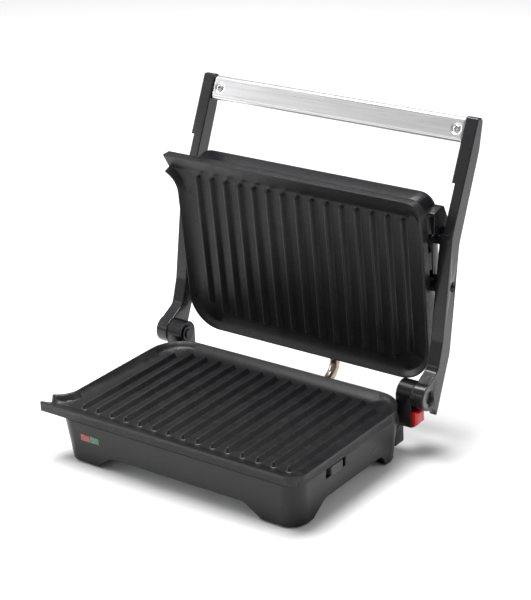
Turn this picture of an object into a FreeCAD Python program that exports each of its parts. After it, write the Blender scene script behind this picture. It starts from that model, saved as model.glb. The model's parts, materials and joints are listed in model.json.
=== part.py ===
import FreeCAD, Part
import math
import os

# Contact grill (panini press), millimetres.
# X runs to the right, Y to the back, Z up.  The press stands open on the plane Z = 0.
# Pieces of the base are drawn about the centre of the lower plate and moved by base_shift,
# so that the origin is under the middle of the open press.
# Pieces of the lid are drawn shut, over the base, and are then swung to the open position.

Vector = FreeCAD.Vector
Rotation = FreeCAD.Rotation
Placement = FreeCAD.Placement

doc = FreeCAD.newDocument("panini_press")
sheet = doc.addObject("Spreadsheet::Sheet", "Sizes")

SIZES = [
    # grill plates
    ("plate_half_width", 121.5, "half of the plate's width"),
    ("plate_front", 79.5, "plate centre to its front edge"),
    ("plate_rear", 79, "plate centre to its rear edge"),
    ("plate_rear_corner", 29, "corner radius at the rear"),
    ("plate_front_corner", 14, "corner radius at the front right"),
    ("plate_skirt", 6.5, "skirt's lower edge below the rib crests"),
    ("plate_rim", 1.5, "rim above the rib crests"),
    ("rim_land", 1.4, "flat on top of the rim"),
    ("floor_margin", 6, "rim's outer edge to the flat floor"),
    ("gutter_y", 67, "plate centre to the gutter's lowest line"),
    ("rib_count", 15, "ribs on a plate"),
    ("rib_pitch", 14.5, "rib to rib"),
    ("rib_length", 124.5, "crest of a full rib"),
    ("rib_height", 4, "crest above the floor"),
    ("rib_foot", 6.4, "rib's width at the floor"),
    ("rib_crest", 2.2, "rib's width at the crest"),
    ("end_rib_cut", 7.5, "outer ribs end this much sooner at the rear"),
    ("spout_reach", 133, "plate centre to the spout's mouth"),
    ("flare_start", 46, "plate centre to where the left rim turns out"),
    ("mouth_y", 63, "plate centre to the mouth's rear lip"),
    # heights
    ("rib_top", 47.5, "lower rib crests above the table"),
    ("plate_gap", 3.4, "rib crest to rib crest when shut"),
    # base housing
    ("base_rim", 39, "top of the housing's walls"),
    ("base_half_width", 118.5, "half width at the rim"),
    ("base_front", 76.5, "plate centre to the front wall at the rim"),
    ("base_rear", 78, "plate centre to the rear wall at the rim"),
    ("base_draft", 3.5, "the walls lean in by this much at the bottom"),
    ("base_front_corner", 15, "front corner radius"),
    ("base_rear_corner", 20, "rear corner radius"),
    ("wall", 2.5, "moulded wall"),
    ("edge_round", 0.8, "rounding of the casings' outer edges"),
    ("arm_round", 1, "rounding of the arms' long edges"),
    ("small_round", 0.5, "rounding of small parts"),
    ("foot_height", 1.2, "rubber pad under each leg"),
    ("foot_x", 99, "centre of a rubber pad"),
    ("foot_front", 60.5, "front pads' centre ahead of the plate centre"),
    ("foot_rear", 62, "rear pads' centre behind the plate centre"),
    ("post_x", 107, "screw posts for the bottom cover"),
    ("post_front", 56, "front posts ahead of the plate centre"),
    ("post_rear", 50, "rear posts behind the plate centre"),
    ("post_radius", 4, "screw posts"),
    ("rim_ledge", 2.5, "ledge inside the housing's rim"),
    ("arch_height", 12.5, "arch above the table"),
    ("front_arch", 80, "half of the front arch at the table"),
    ("arch_slope", 14, "arch narrows by this much towards its top"),
    ("side_arch_front", 50, "side arch ahead of the plate centre"),
    ("side_arch_rear", 50, "side arch behind the plate centre"),
    # hinge
    ("hinge_y", 84.5, "plate centre to the hinge axis"),
    ("hinge_z", 52, "hinge axis above the table"),
    ("boss_radius", 11.4, "hinge bosses of the arms"),
    ("knuckle_inner", 110, "inner end of a knuckle"),
    ("arm_inner", 124, "inner face of an arm"),
    ("arm_outer", 135.5, "outer face of an arm"),
    ("knuckle_radius", 10.7, "hinge knuckles on the brackets"),
    ("post_reach", 27.5, "hinge axis to the farthest edge of a bracket's post"),
    ("side_gap", 0.3, "between faces that turn past each other"),
    ("pin_radius", 4, "hinge pin"),
    ("running_gap", 0.05, "radial clearance of a turning pin"),
    ("pin_head", 5.4, "radius of a pin's head"),
    ("head_depth", 3, "thickness of a pin's head"),
    ("counterbore", 5.8, "radius of the recess for a pin's head"),
    ("recess_depth", 5.5, "depth of that recess"),
    # lid pivot, and how far the lid leans when open
    ("pivot_y", 120.4, "plate centre to the pivot axis, press open"),
    ("pivot_z", 134.5, "pivot axis above the table, press open"),
    ("pivot_height", 17.9, "pivot axis behind the upper rib crests"),
    ("pivot_pin", 3, "pivot pin radius"),
    ("pivot_head", 4.1, "pivot pin's head radius"),
    ("pivot_recess", 4.4, "radius of the recess for that head"),
    ("lid_swing", 85.4, "lid's angle from shut to open"),
    # lid housing
    ("lid_half_width", 117.5, "half width of the cover"),
    ("lid_front", 77.5, "plate centre to the cover's front"),
    ("lid_rear", 75, "plate centre to the cover's rear"),
    ("lid_rim", 8.5, "rib crests to the cover's rim"),
    ("lid_depth", 34, "rib crests to the cover's back"),
    ("lid_rear_depth", 19, "the same at the rear edge"),
    ("lid_slope", 42, "length of the sloping rear part"),
    # handle
    ("handle_height", 21, "bar, along the arm"),
    ("handle_thick", 9.5, "bar, front to back"),
    ("handle_wall", 1, "stainless cover"),
    ("handle_inset", 1.2, "bar behind the arms' front edge"),
    ("handle_screw_x", 117, "bar's screws, from the centre"),
    ("tail_relief", 5.7, "right arm's tail is this much thinner on its inner side"),
    ("ear_rebate", 3.2, "depth of the rebate above each arm's ledge"),
    # latches and button
    ("button_y", 82, "release button's centre"),
    ("button_z", 34.1, "release button's centre"),
    ("button_size", 12.4, "release button's height and width"),
    ("button_out", 5, "button stands out of its bracket"),
    ("latch_y", 24, "latches ahead of the plate centre"),
    ("latch_length", 16, "latch slider along Y"),
    ("latch_height", 8, "latch slider's height"),
    # supply lead into the lid
    ("conduit_x", 20, "conduit right of the centre"),
    ("conduit_radius", 4.3, "outside radius"),
    ("conduit_bend", 17, "bend radius of its centre line"),
    ("conduit_y", 120.6, "conduit's rising run behind the plate centre"),
    ("conduit_top", 58, "conduit's upper end, just inside the lid"),
    ("conduit_z", 29, "conduit's height at the base"),
    # whole press
    ("base_shift", -44.35, "plate centre along Y"),
]

for row, (alias, value, note) in enumerate(SIZES, start=1):
    sheet.set("A%d" % row, str(value))
    sheet.setAlias("A%d" % row, alias)
    sheet.set("B%d" % row, note)
doc.recompute()


class Cells:
    """Reads a size from the sheet by its alias."""

    def __getattr__(self, alias):
        return float(sheet.get(alias))


S = Cells()
BASE_PLACE = Placement(Vector(0, S.base_shift, 0), Rotation())
X_AXIS = Vector(1, 0, 0)


def lid_placement():
    """Swings what is drawn shut to the open lid's place, by way of the pivot axis."""
    shut = Vector(0, lid_pivot_y(), S.rib_top + S.plate_gap + S.pivot_height)
    opened = Vector(0, S.pivot_y + S.base_shift, S.pivot_z)
    turn = Rotation(X_AXIS, -S.lid_swing)
    return Placement(opened - turn.multVec(shut), turn)


def lid_pivot_y():
    """Where the pivot axis lies when the press is shut, so that the plates meet squarely."""
    reach = math.hypot(S.pivot_y - S.hinge_y, S.pivot_z - S.hinge_z)
    rise = S.rib_top + S.plate_gap + S.pivot_height - S.hinge_z
    return S.hinge_y - math.sqrt(reach ** 2 - rise ** 2)


# ---------------------------------------------------------------- drawing helpers


def corner_run(points):
    """Turns (a, b, radius) corners into flat geometry: lines joined by tangent arcs."""
    runs = []
    count = len(points)
    for i, (a, b, radius) in enumerate(points):
        here = Vector(a, b, 0)
        to_last = (Vector(*points[i - 1][:2], 0) - here).normalize()
        to_next = (Vector(*points[(i + 1) % count][:2], 0) - here).normalize()
        half = to_last.getAngle(to_next) / 2
        if radius <= 0 or half > math.radians(89.9):
            runs.append((here, None, here))
            continue
        back = radius / math.tan(half)
        centre = here + (to_last + to_next).normalize() * (radius / math.sin(half))
        middle = centre + (here - centre).normalize() * radius
        runs.append((here + to_last * back, middle, here + to_next * back))
    geometry = []
    for i, (start, middle, end) in enumerate(runs):
        if middle is not None:
            geometry.append(Part.Arc(start, middle, end))
        following = runs[(i + 1) % count][0]
        if end.distanceToPoint(following) > 1e-6:
            geometry.append(Part.LineSegment(end, following))
    return geometry


def wire(points, height=0.0, place=None):
    """Closed wire through rounded corners, at a height, or moved to a placement."""
    made = Part.Wire([piece.toShape() for piece in corner_run(points)])
    made.Placement = place or Placement(Vector(0, 0, height), Rotation())
    return made


def slab(points, low, high):
    return Part.Face(wire(points, low)).extrude(Vector(0, 0, high - low))


def between(low_points, low, high_points, high):
    """Solid with straight walls between two outlines of the same make."""
    return Part.makeLoft([wire(low_points, low), wire(high_points, high)], True, True)


SIDE_VIEW = Placement(Vector(), Rotation(Vector(0, 1, 0), Vector(0, 0, 1), X_AXIS, "ZXY"))
FRONT_VIEW = Placement(Vector(), Rotation(X_AXIS, 90))


def side_slab(points, left, right):
    """Extrudes an outline given as (y, z, radius) between two values of x."""
    place = Placement(Vector(left, 0, 0), SIDE_VIEW.Rotation)
    return Part.Face(wire(points, place=place)).extrude(Vector(right - left, 0, 0))


def front_slab(points, front, rear):
    """Extrudes an outline given as (x, z, radius) between two values of y."""
    place = Placement(Vector(0, front, 0), FRONT_VIEW.Rotation)
    return Part.Face(wire(points, place=place)).extrude(Vector(0, rear - front, 0))


def box_outline(left, right, front, rear, radius=0.0):
    return [(left, front, radius), (right, front, radius), (right, rear, radius), (left, rear, radius)]


def keep(label, shape, place):
    """Stores a shape made from sheet sizes as a sub-part."""
    piece = doc.addObject("Part::Feature", label)
    piece.Label = label
    piece.Shape = shape.removeSplitter() if len(shape.Solids) == 1 else shape
    piece.Placement = place
    return piece


def new_body(label, place):
    body = doc.addObject("PartDesign::Body", label)
    body.Label = label
    body.Placement = place
    return body


def set_size(feature, name, value):
    """Binds a property to a formula on the sheet, or sets it to a plain number."""
    if isinstance(value, str):
        feature.setExpression(name, value)
    else:
        feature.setExpression(name, "%.6g" % value)


AXIS_TURNS = {"z": Rotation(), "x": Rotation(Vector(0, 1, 0), 90), "y": Rotation(X_AXIS, -90)}


def block(body, size, low, cut=False):
    """Adds or cuts a block, given its size and its lowest corner as formulas."""
    kind = "PartDesign::SubtractiveBox" if cut else "PartDesign::AdditiveBox"
    feature = body.newObject(kind, "Block")
    for name, value in zip(("Length", "Width", "Height"), size):
        set_size(feature, name, value)
    for name, value in zip("xyz", low):
        set_size(feature, "Placement.Base." + name, value)
    return feature


def rod(body, radius, length, start, axis="x", cut=False):
    """Adds or cuts a cylinder that starts at a point and runs along an axis."""
    kind = "PartDesign::SubtractiveCylinder" if cut else "PartDesign::AdditiveCylinder"
    feature = body.newObject(kind, "Rod")
    feature.Placement = Placement(Vector(), AXIS_TURNS[axis])
    set_size(feature, "Radius", radius)
    set_size(feature, "Height", length)
    for name, value in zip("xyz", start):
        set_size(feature, "Placement.Base." + name, value)
    return feature


def origin_plane(body, role):
    return [plane for plane in body.Origin.OriginFeatures if plane.Role == role][0]


def flat_sketch(body, role, points, offset=0.0):
    """Sketch of an outline on one of the body's own origin planes."""
    sketch = body.newObject("Sketcher::SketchObject", "Outline")
    sketch.AttachmentSupport = (origin_plane(body, role), [""])
    sketch.MapMode = "FlatFace"
    sketch.AttachmentOffset = Placement(Vector(0, 0, offset), Rotation())
    for piece in corner_run(points):
        sketch.addGeometry(piece, False)
    return sketch


def pad(body, sketch, length, cut=False):
    kind = "PartDesign::Pocket" if cut else "PartDesign::Pad"
    feature = body.newObject(kind, "Run")
    feature.Profile = sketch
    set_size(feature, "Length", length)
    return feature


def across(shape, axis="X"):
    """Edges that lie square to an axis: the outlines of the shape's two ends."""
    return [edge for edge in shape.Edges if getattr(edge.BoundBox, axis + "Length") < 1e-6]


def sharp_edges(shape, edges):
    """Of these edges, the ones where two faces meet at a clear angle."""
    found = []
    for edge in edges:
        faces = shape.ancestorsOfType(edge, Part.Face)
        middle = edge.valueAt((edge.FirstParameter + edge.LastParameter) / 2)
        normals = [face.normalAt(*face.Surface.parameter(middle)) for face in faces]
        if len(normals) == 2 and normals[0].getAngle(normals[1]) > 0.4:
            found.append(edge)
    return found


def round_edges(body, radius, pick):
    """Fillet on the body's picked edges."""
    doc.recompute()
    base = body.Tip
    names = ["Edge%d" % i for i, edge in enumerate(base.Shape.Edges, start=1) if pick(edge)]
    fillet = body.newObject("PartDesign::Fillet", "Rounding")
    fillet.Base = (base, names)
    set_size(fillet, "Radius", radius)
    body.Tip = fillet
    return fillet


# ---------------------------------------------------------------- grill plates


def plate_outline(inset, reach, mouth_inset, front_inset=0.0):
    """Plate seen from above: rounded corners, and a left rim that turns out to a spout.

    Points run round from the mouth's front lip.  The flare is one arc, tangent to the left side.
    """
    side = S.plate_half_width - inset
    front = -(S.plate_front - front_inset)
    rear = S.plate_rear - inset
    mouth = -(S.mouth_y + mouth_inset)
    start = -S.flare_start
    out = S.spout_reach - S.plate_half_width
    drop = start - mouth
    radius = (out ** 2 + drop ** 2) / (2 * out)
    sweep = math.asin(min(1.0, drop / radius))
    centre = Vector(-side - radius, start, 0)
    tip = centre + Vector(math.cos(-sweep), math.sin(-sweep), 0) * radius
    middle = centre + Vector(math.cos(-sweep / 2), math.sin(-sweep / 2), 0) * radius
    corner_front = S.plate_front_corner - inset
    corner_rear = S.plate_rear_corner - inset
    ring = corner_run([(-side, start, 0), (-side, front, 0), (side, front, corner_front),
                       (side, rear, corner_rear), (-side, rear, corner_rear)])
    kept = [piece for piece in ring if not touches_front_left(piece, -side, front, start)]
    bottom_left = Vector(-reach, front, 0)
    edge_end = Vector(side - corner_front, front, 0)
    kept.append(Part.LineSegment(bottom_left, edge_end))
    kept.append(Part.LineSegment(Vector(-reach, tip.y, 0), bottom_left))
    if reach > -tip.x + 1e-6:
        kept.append(Part.LineSegment(tip, Vector(-reach, tip.y, 0)))
    kept.append(Part.Arc(Vector(-side, start, 0), middle, tip))
    return kept


def touches_front_left(piece, left, front, start):
    """True for the two straight sides that the spout replaces."""
    ends = (piece.StartPoint, piece.EndPoint)
    straight = isinstance(piece, Part.LineSegment)
    below = straight and all(abs(end.x - left) < 1e-6 and end.y <= start + 1e-6 for end in ends)
    along = straight and all(abs(end.y - front) < 1e-6 for end in ends)
    return below or along


def plate_wire(height, *shape):
    edges = [piece.toShape() for piece in plate_outline(*shape)]
    made = Part.Wire(Part.sortEdges(edges)[0])
    made.translate(Vector(0, 0, height))
    return made


def rib(index):
    """One rib: a long ridge with sloping flanks and ends."""
    last = int(S.rib_count) - 1
    x = (index - last / 2) * S.rib_pitch
    front = -S.rib_length / 2
    rear = S.rib_length / 2 - (S.end_rib_cut if index in (0, last) else 0)
    foot = (S.rib_foot - S.rib_crest) / 2
    crest = S.rib_crest / 2
    floor = S.rib_top - S.rib_height
    low = box_outline(x - crest - foot, x + crest + foot, front - foot, rear + foot, 1.0)
    high = box_outline(x - crest, x + crest, front, rear, 1.0)
    return between(low, floor - 0.5, high, S.rib_top)


def grill_plate():
    """Cast plate: a tray with a rim, a gutter along the front that runs out at the left, and ribs."""
    floor = S.rib_top - S.rib_height
    rim = S.rib_top + S.plate_rim
    underside = S.rib_top - S.plate_skirt
    body = Part.Face(plate_wire(underside, 0, S.spout_reach, 0)).extrude(
        Vector(0, 0, rim - underside))
    past = S.spout_reach + 8
    low = plate_wire(floor, S.floor_margin, past, 3.0, S.plate_front - S.gutter_y)
    high = plate_wire(rim + 0.01, S.rim_land, past, S.rim_land, S.rim_land)
    tray = Part.makeLoft([low, high], True, True)
    plate = body.cut(tray)
    for index in range(int(S.rib_count)):
        plate = plate.fuse(rib(index))
    return plate


def mirrored_up(shape):
    """Turns a piece of the base upside down, to sit shut above the lower rib crests."""
    middle = S.rib_top + S.plate_gap / 2
    return shape.mirror(Vector(0, 0, middle), Vector(0, 0, 1))


# ---------------------------------------------------------------- base


def base_outline(inset, lean):
    """Housing seen from above, moved in by a wall and by the lean of the walls."""
    side = S.base_half_width - inset - lean
    front = -(S.base_front - inset - lean)
    rear = S.base_rear - inset - lean
    return [(-side, front, S.base_front_corner - inset), (side, front, S.base_front_corner - inset),
            (side, rear, S.base_rear_corner - inset), (-side, rear, S.base_rear_corner - inset)]


def base_block(inset, low, high):
    """The housing's volume between two heights, with leaning walls."""
    lean = [S.base_draft * (S.base_rim - height) / S.base_rim for height in (low, high)]
    return between(base_outline(inset, lean[0]), low, base_outline(inset, lean[1]), high)


def arch_outline(left, right, top, left_slope, right_slope):
    """Arch between two legs: rounded at the top, flared where the legs meet the table."""
    foot = 3.5
    return [(left - foot, -4, 0), (left, 2.5, 4), (left + left_slope, top, 10),
            (right - right_slope, top, 10), (right, 2.5, 4), (right + foot, -4, 0)]


def arch_tunnels(reach):
    """The space under the press between its four legs, front to back and side to side."""
    front = arch_outline(-S.front_arch, S.front_arch, S.arch_height, S.arch_slope, S.arch_slope)
    side = arch_outline(-S.side_arch_front, S.side_arch_rear, S.arch_height, S.arch_slope, 6)
    return front_slab(front, -reach, reach).fuse(side_slab(side, -reach, reach))


def on_outside(shell):
    """The housing's edges that lie on the outer face of its walls."""
    skin = [face for face in base_block(0, S.foot_height, S.base_rim).Faces
            if abs(face.normalAt(0.5, 0.5).z) < 0.5]
    outside = Part.makeCompound(skin)
    found = []
    for edge in shell.Edges:
        span = edge.LastParameter - edge.FirstParameter
        points = [edge.valueAt(edge.FirstParameter + span * share) for share in (0, 0.5, 1)]
        if all(outside.distToShape(Part.Vertex(point))[0] < 0.02 for point in points):
            found.append(edge)
    return found


def post_places():
    """Centres of the four posts that hold the bottom cover."""
    return [(x, y) for x in (-S.post_x, S.post_x) for y in (-S.post_front, S.post_rear)]


def foot_places():
    """Centres of the four rubber pads."""
    return [(x, y) for x in (-S.foot_x, S.foot_x) for y in (-S.foot_front, S.foot_rear)]


def base_housing():
    """Lower casing: four leaning walls on four legs, with a ledge inside the rim."""
    shell = base_block(0, S.foot_height, S.base_rim).cut(base_block(S.wall, 0, S.base_rim + 1))
    ledge = base_block(0.5, S.base_rim - S.rim_ledge, S.base_rim).cut(
        slab(box_outline(*RING_HOLE), 0, S.base_rim + 1))
    shell = shell.fuse(ledge)
    reach = S.base_half_width + 20
    shell = shell.cut(arch_tunnels(reach)).removeSplitter()
    shell = shell.makeFillet(S.edge_round, sharp_edges(shell, on_outside(shell)))
    window = slab(box_outline(104, reach, -S.latch_y - 13.5, -S.latch_y + 13.5), 29.5, S.base_rim + 1)
    lamps = front_slab(box_outline(*LAMP_WINDOW), -reach, -60)
    lead = Part.makeCylinder(S.conduit_radius + 2.2, 20, Vector(S.conduit_x, 66, S.conduit_z),
                             Vector(0, 1, 0))
    inlet = Part.makeCylinder(6, 20, Vector(-70, 66, 24), Vector(0, 1, 0))
    shell = shell.cut(window).cut(lamps).cut(lead).cut(inlet).cut(bracket_screw_holes(1.52))
    ledge_under = S.base_rim - S.rim_ledge
    for x, y in post_places():
        post = Part.makeCylinder(S.post_radius, ledge_under + 1 - COVER_TOP, Vector(x, y, COVER_TOP))
        pilot = Part.makeCylinder(1.5, 12, Vector(x, y, COVER_TOP - 1))
        shell = shell.fuse(post).cut(pilot)
    arches = arch_tunnels(reach)
    for web in leg_pads():
        shell = shell.fuse(web.common(base_block(1, 0, S.base_rim)).cut(arches))
    return keep("base_housing", shell, BASE_PLACE)


RING_HOLE = (-105, 105, -64, 66, 8)
DISH_LOW = 29.0
LAMP_WINDOW = (-95.3, -76.1, 22.5, 28.7)
COVER_LOW = S.arch_height + 1.5
COVER_TOP = COVER_LOW + 2


def base_cover():
    """Sheet cover that closes the housing from below, with the slots that let heat out."""
    cover = base_block(S.wall + 0.4, COVER_LOW, COVER_TOP)
    for x in range(-60, 61, 12):
        cover = cover.cut(slab(box_outline(x - 1.5, x + 1.5, -30, 30, 1.4), 0, 30))
    for x, y in post_places():
        cover = cover.cut(Part.makeCylinder(1.9, 30, Vector(x, y, 0)))
    return keep("base_bottom_cover", cover, BASE_PLACE)


def cover_screws():
    """Screws that hold the bottom cover to the housing's posts."""
    screws = []
    for x, y in post_places():
        head = Part.makeCylinder(3.2, 1.6, Vector(x, y, COVER_LOW - 1.6))
        shank = Part.makeCylinder(1.5, 10, Vector(x, y, COVER_LOW - 0.2))
        screws.append(head.fuse(shank))
    return keep("base_cover_screws", Part.makeCompound(screws), BASE_PLACE)


def rubber_feet():
    pads = []
    for x, y in foot_places():
        pads.append(slab(box_outline(x - 13, x + 13, y - 7.5, y + 7.5, 5), 0, S.foot_height))
    return keep("rubber_feet", Part.makeCompound(pads), BASE_PLACE)


def leg_pads():
    """Webs that close the legs from below and carry the rubber feet."""
    webs = []
    for x, y in foot_places():
        outline = box_outline(x - 24, x + 24, y - 20, y + 20)
        webs.append(slab(outline, S.foot_height, S.foot_height + 2))
    return webs


def seat_ring(label, flip):
    """Heat-proof ring between a housing's rim and the plate's skirt."""
    low, high = S.base_rim, S.rib_top - S.plate_skirt
    ring = slab(box_outline(-113.5, 113.5, -72.5, 74, 12), low + 0.02, high - 0.02)
    ring = ring.cut(slab(box_outline(*RING_HOLE), 0, 60))
    ring = ring.cut(slab(box_outline(104.5, 112.6, -S.latch_y - 6, -S.latch_y + 6), 0, 60))
    if not flip:
        return keep(label, ring, BASE_PLACE)
    ring = mirrored_up(ring).cut(tube_hole())
    for x, y in lid_post_places():
        ring = ring.cut(Part.makeCylinder(1.6, 60, Vector(x, y, high)))
    return keep(label, ring, lid_placement())


def open_run(points, radius):
    """Straight runs through (x, y, z) points, joined by tangent arcs."""
    edges = []
    last = Vector(*points[0])
    for i in range(1, len(points)):
        here = Vector(*points[i])
        if i + 1 < len(points):
            back = (last - here).normalize()
            ahead = (Vector(*points[i + 1]) - here).normalize()
            half = back.getAngle(ahead) / 2
            cut = radius / math.tan(half)
            centre = here + (back + ahead).normalize() * (radius / math.sin(half))
            middle = centre + (here - centre).normalize() * radius
            edges.append(Part.LineSegment(last, here + back * cut).toShape())
            edges.append(Part.Arc(here + back * cut, middle, here + ahead * cut).toShape())
            last = here + ahead * cut
        else:
            edges.append(Part.LineSegment(last, here).toShape())
    return Part.Wire(edges)


def tube(points, bend, outside, inside=0.0):
    """Round tube or rod along straight runs and tangent arcs."""
    path = open_run(points, bend)
    start = Vector(*points[0])
    along = (Vector(*points[1]) - start).normalize()
    shapes = []
    for radius in (outside, inside):
        if radius > 0:
            circle = Part.Wire([Part.makeCircle(radius, start, along)])
            shapes.append(path.makePipeShell([circle], True, False))
    return shapes[0].cut(shapes[1]) if len(shapes) > 1 else shapes[0]


def heating_element(label, flip):
    """Tubular heater bent into a loop under the plate, with both cold ends at the rear."""
    height = S.rib_top - S.plate_skirt - 4.2
    side, front, rear, cold_end, gap = 88, -48, 44, 62, 14
    loop = [(-gap, cold_end, height), (-gap, rear, height), (-side, rear, height),
            (-side, front, height), (side, front, height), (side, rear, height),
            (gap, rear, height), (gap, cold_end, height)]
    heater = tube(loop, 9, 3.2)
    return keep(label, mirrored_up(heater) if flip else heater, lid_placement() if flip else BASE_PLACE)


def reflector(label, flip):
    """Shallow bright dish that turns the heat up to the plate."""
    low, high, sheet_wall = DISH_LOW, S.base_rim + 1.0, 0.6
    outer = slab(box_outline(-102, 102, -61, 64.5, 8), low, high)
    inner = slab(box_outline(-102 + sheet_wall, 102 - sheet_wall, -61 + sheet_wall,
                             64.5 - sheet_wall, 7.4), low + sheet_wall, high + 1)
    dish = outer.cut(inner)
    return keep(label, mirrored_up(dish) if flip else dish, lid_placement() if flip else BASE_PLACE)


def electrics():
    """Thermostat, thermal cut-outs, terminal block and lamp board."""
    thermostat = new_body("thermostat", BASE_PLACE)
    rod(thermostat, 9, 7, (40, 15, DISH_LOW - 7.1), "z")
    block(thermostat, (30, 6, 1.2), (25, 12, DISH_LOW - 4.1))
    fuse = new_body("thermal_fuse", BASE_PLACE)
    rod(fuse, 2.2, 13, (-46, 20, 23), "x")
    rod(fuse, 0.6, 27, (-53, 20, 23), "x")
    terminals = new_body("terminal_block", BASE_PLACE)
    block(terminals, (34, 12, 8), (-60, 44, "%.3f" % (COVER_TOP + 0.1)))
    for x in (-55, -47, -39, -31):
        rod(terminals, 2.2, 3, (x + 2, 50, COVER_TOP + 8), "z")
    board = new_body("lamp_board", BASE_PLACE)
    block(board, (24, 1.6, 11), (-97.7, -68.6, 20.1))
    for x in (-90.5, -80.9):
        rod(board, 2, 2.5, (x, -71, 25.6), "y")
    return [thermostat, fuse, terminals, board]


def lamp_lens(label, left, right):
    """Rectangular lens, slightly proud of the front wall."""
    body = new_body(label, BASE_PLACE)
    front = -75.75
    block(body, (right - left, 4.2, 5.9), (left, front, 22.65))
    round_edges(body, "Sizes.small_round", lambda edge: edge.BoundBox.YMax < front + 1e-3)
    return body


def inlet_gland():
    """Strain relief bush for the supply cord, in the rear wall."""
    body = new_body("cord_inlet_bush", BASE_PLACE)
    rod(body, 5.95, 6, (-70, 72.5, 24), "y")
    rod(body, 8, 1.9, (-70, 77.5, 24), "y")
    rod(body, 3.6, 12, (-70, 70, 24), "y", cut=True)
    return body


def hinge_bracket(label, side):
    """Bracket on a rear corner: the hinge knuckle on top, and a guide for the release button."""
    left, right = S.knuckle_inner, S.arm_inner - S.side_gap
    y, z = S.hinge_y, S.hinge_z
    front, rear, low = y - S.knuckle_radius, y + S.knuckle_radius, 24.0
    knuckle = Part.makeCylinder(S.knuckle_radius, right - left, Vector(left, y, z), X_AXIS)
    post = side_slab([(front, z, 0), (front, low + 2, 3), (front + 6, low, 4), (rear - 6, low, 4),
                      (rear, low + 12, 4), (rear, z, 0)], left, right)
    post = post.common(Part.makeCylinder(S.post_reach, right - left, Vector(left, y, z), X_AXIS))
    flange = slab(box_outline(94, left + 3, 66, S.base_rear + 3.5, 2), 10, 36.5)
    bracket = knuckle.fuse(post).fuse(flange).cut(base_block(0, 0, S.base_rim + 0.3))
    bore = Part.makeCylinder(S.pin_radius + S.running_gap, 60, Vector(80, y, z), X_AXIS)
    bracket = bracket.cut(bore).cut(bracket_screw_holes(1.6))
    if side > 0:
        half = S.button_size / 2 + 0.3
        guide = box_outline(S.button_y - half, S.button_y + half, S.button_z - half,
                            S.button_z + half, 0.4)
        bracket = bracket.cut(side_slab(guide, right - 12, right + 1))
    else:
        bracket = bracket.mirror(Vector(), X_AXIS)
    return keep(label, bracket, BASE_PLACE)


def bracket_screw_places():
    return [(x, z) for x in (-102, 102) for z in (19.5, 31)]


def bracket_screw_holes(radius):
    """Holes along Y for the bracket screws."""
    holes = [Part.makeCylinder(radius, 30, Vector(x, 60, z), Vector(0, 1, 0))
             for x, z in bracket_screw_places()]
    return Part.makeCompound(holes)


def bracket_screws():
    """Screws that hold both brackets to the housing's rear corners."""
    screws = []
    outside = S.base_rear + 3.5
    for x, z in bracket_screw_places():
        head = Part.makeCylinder(3, 1.8, Vector(x, outside + 0.05, z), Vector(0, 1, 0))
        shank = Part.makeCylinder(1.5, 12, Vector(x, outside - 11.5, z), Vector(0, 1, 0))
        screws.append(head.fuse(shank))
    return keep("bracket_screws", Part.makeCompound(screws), BASE_PLACE)


def release_button():
    """Square push button that stops the right arm's tail until it is pressed in."""
    body = new_body("release_button", BASE_PLACE)
    inner = S.arm_inner - S.side_gap - 6
    half = "Sizes.button_size / 2"
    block(body, ("%.3f + Sizes.button_out" % 6, "Sizes.button_size", "Sizes.button_size"),
          (inner, "Sizes.button_y - " + half, "Sizes.button_z - " + half))
    doc.recompute()
    cap = body.Tip
    outer = [i for i, face in enumerate(cap.Shape.Faces, start=1)
             if face.CenterOfMass.x > inner + 10.9]
    bevel = body.newObject("PartDesign::Chamfer", "Bevel")
    bevel.Base = (cap, ["Face%d" % outer[0]])
    bevel.Size = 1.8
    body.Tip = bevel
    return body


def release_spring():
    body = new_body("release_spring", BASE_PLACE)
    right = S.arm_inner - S.side_gap - 6
    rod(body, 3.2, 5.8, (right - 5.9, "Sizes.button_y", "Sizes.button_z"), "x")
    rod(body, 2.2, 20, (right - 10, "Sizes.button_y", "Sizes.button_z"), "x", cut=True)
    return body


def plate_latch(label, flip):
    """Slider in the side wall: pressed in, it lets the plate's tongue go."""
    x = 117.4 if flip else 119.4
    button = slab(box_outline(109, x, -S.latch_y - S.latch_length / 2,
                              -S.latch_y + S.latch_length / 2, 1), 30.3, 30.3 + S.latch_height)
    button = button.makeFillet(S.small_round, across(button, "Z"))
    shield = slab(box_outline(109, 111.4, -S.latch_y - 13.1, -S.latch_y + 13.1), 29.9, 38.4)
    slider = button.fuse(shield)
    return keep(label, mirrored_up(slider) if flip else slider, lid_placement() if flip else BASE_PLACE)


def latch_spring(label, flip):
    spring = Part.makeCylinder(2.6, 5.6, Vector(103.2, -S.latch_y, 34.2), X_AXIS)
    spring = spring.cut(Part.makeCylinder(1.8, 20, Vector(100, -S.latch_y, 34.2), X_AXIS))
    return keep(label, mirrored_up(spring) if flip else spring, lid_placement() if flip else BASE_PLACE)


# ---------------------------------------------------------------- arms and handle


ARM_TIP_FRONT = (160.0, 262.6)
ARM_BEND_FRONT = (119.6, 177.2)
TAIL_TIP = (94.4, 30.6)
ARM_BEND_REAR = (116.0, 79.0)


def arm_points():
    """An arm with its short tail, seen from the side as (y, z, radius), from the tail's tip round."""
    return [(*TAIL_TIP, 1.2), (*ARM_BEND_REAR, 40), (131.2, 167.0, 30), (161.8, 236.0, 30),
            (168.0, 261.5, 4), (*ARM_TIP_FRONT, 2), (*ARM_BEND_FRONT, 20), (104.2, 91.5, 22),
            (97.0, 70.5, 9), (82.0, 62.5, 0), (84.5, 52.0, 0), (84.5, 44.0, 0), (91.2, 38.0, 2)]


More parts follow.
